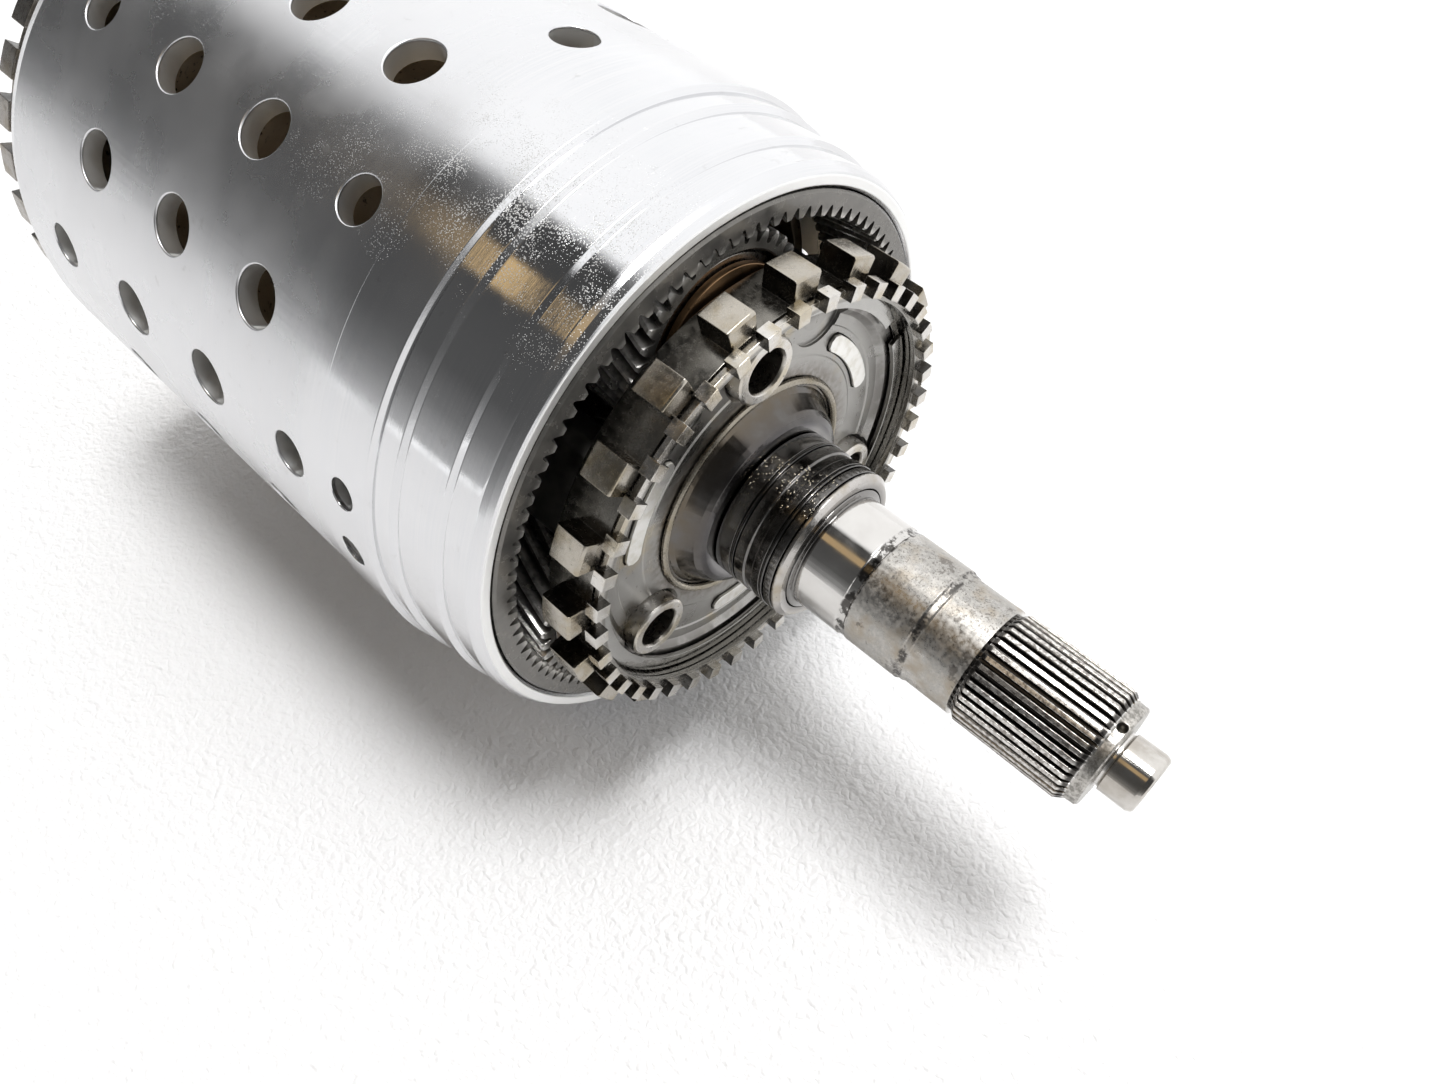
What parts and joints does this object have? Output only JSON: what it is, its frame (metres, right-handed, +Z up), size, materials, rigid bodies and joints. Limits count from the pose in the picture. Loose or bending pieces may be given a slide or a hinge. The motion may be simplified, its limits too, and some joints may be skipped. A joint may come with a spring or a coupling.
{
  "type": "planetary gear set",
  "caption": "Transmission planetary gear set: perforated drum with internal ring gear, planet carrier with parking gear and speed ring, sun gear, splined output shaft.",
  "frame": {"origin": "centre of the bounding box at its bottom, under the axis, where the drum rests", "axes": "+X along the shaft axis towards the nose of the output shaft, +Z up, +Y to the left of the nose"},
  "size_m": [0.332, 0.1622, 0.1622],
  "materials": {
    "drum_steel": "satin turned, fine sparkle",
    "gear_steel": "dark oily hardened steel",
    "worn_steel": "worn warm-toned steel",
    "plate_steel": "matte pressed steel",
    "bright_steel": "ground and polished",
    "oiled_steel": "black, oiled",
    "bronze": "dull bronze"
  },
  "bodies": {
    "drum": {"drum_shell": "drum_steel", "ring_gear": "gear_steel", "ring_gear_snap_ring": "oiled_steel", "inner_drum": "bronze", "rear_hub": "oiled_steel", "rear_bushing": "bronze"},
    "carrier": {"output_shaft": "bright_steel", "hub_weld_bead": "worn_steel", "carrier_front_plate": "plate_steel", "park_gear": "worn_steel", "speed_ring": "worn_steel", "carrier_snap_ring": "oiled_steel", "planet_cage": "plate_steel", "seal_sleeve": "oiled_steel", "sleeve_end_ring": "bright_steel", "seal_ring_1": "oiled_steel", "seal_ring_2": "oiled_steel", "planet_pin_1": "worn_steel", "planet_pin_2": "worn_steel", "planet_pin_3": "worn_steel", "planet_front_washer_1": "plate_steel", "planet_front_washer_2": "plate_steel", "planet_front_washer_3": "plate_steel", "planet_bronze_washer_1": "bronze", "planet_bronze_washer_2": "bronze", "planet_bronze_washer_3": "bronze", "planet_rear_washer_1": "plate_steel", "planet_rear_washer_2": "plate_steel", "planet_rear_washer_3": "plate_steel", "sun_thrust_washer": "oiled_steel"},
    "sun": {"sun_gear": "gear_steel", "sun_shaft": "worn_steel"},
    "planet_1": {"planet_gear_1": "gear_steel", "needle_bearing_1": "oiled_steel"},
    "planet_2": {"planet_gear_2": "gear_steel", "needle_bearing_2": "oiled_steel"},
    "planet_3": {"planet_gear_3": "gear_steel", "needle_bearing_3": "oiled_steel"}
  },
  "joints": [
    {"name": "carrier_spin", "type": "hinge", "parent": "drum", "child": "carrier", "pos_m": [0.041, 0, 0.0811], "axis": [1, 0, 0], "continuous": true},
    {"name": "sun_spin", "type": "hinge", "parent": "drum", "child": "sun", "pos_m": [0.041, 0, 0.0811], "axis": [1, 0, 0], "continuous": true},
    {"name": "planet_1_spin", "type": "hinge", "parent": "carrier", "child": "planet_1", "pos_m": [0.024, 0.00109, 0.12267], "axis": [1, 0, 0], "continuous": true},
    {"name": "planet_2_spin", "type": "hinge", "parent": "carrier", "child": "planet_2", "pos_m": [0.024, -0.03654, 0.06126], "axis": [1, 0, 0], "continuous": true},
    {"name": "planet_3_spin", "type": "hinge", "parent": "carrier", "child": "planet_3", "pos_m": [0.024, 0.03545, 0.05937], "axis": [1, 0, 0], "continuous": true}
  ],
  "couplings": [
    {"joint": "sun_spin", "follows": "carrier_spin", "ratio": 5.04},
    {"joint": "planet_1_spin", "follows": "carrier_spin", "ratio": -2.6579},
    {"joint": "planet_2_spin", "follows": "carrier_spin", "ratio": -2.6579},
    {"joint": "planet_3_spin", "follows": "carrier_spin", "ratio": -2.6579}
  ]
}
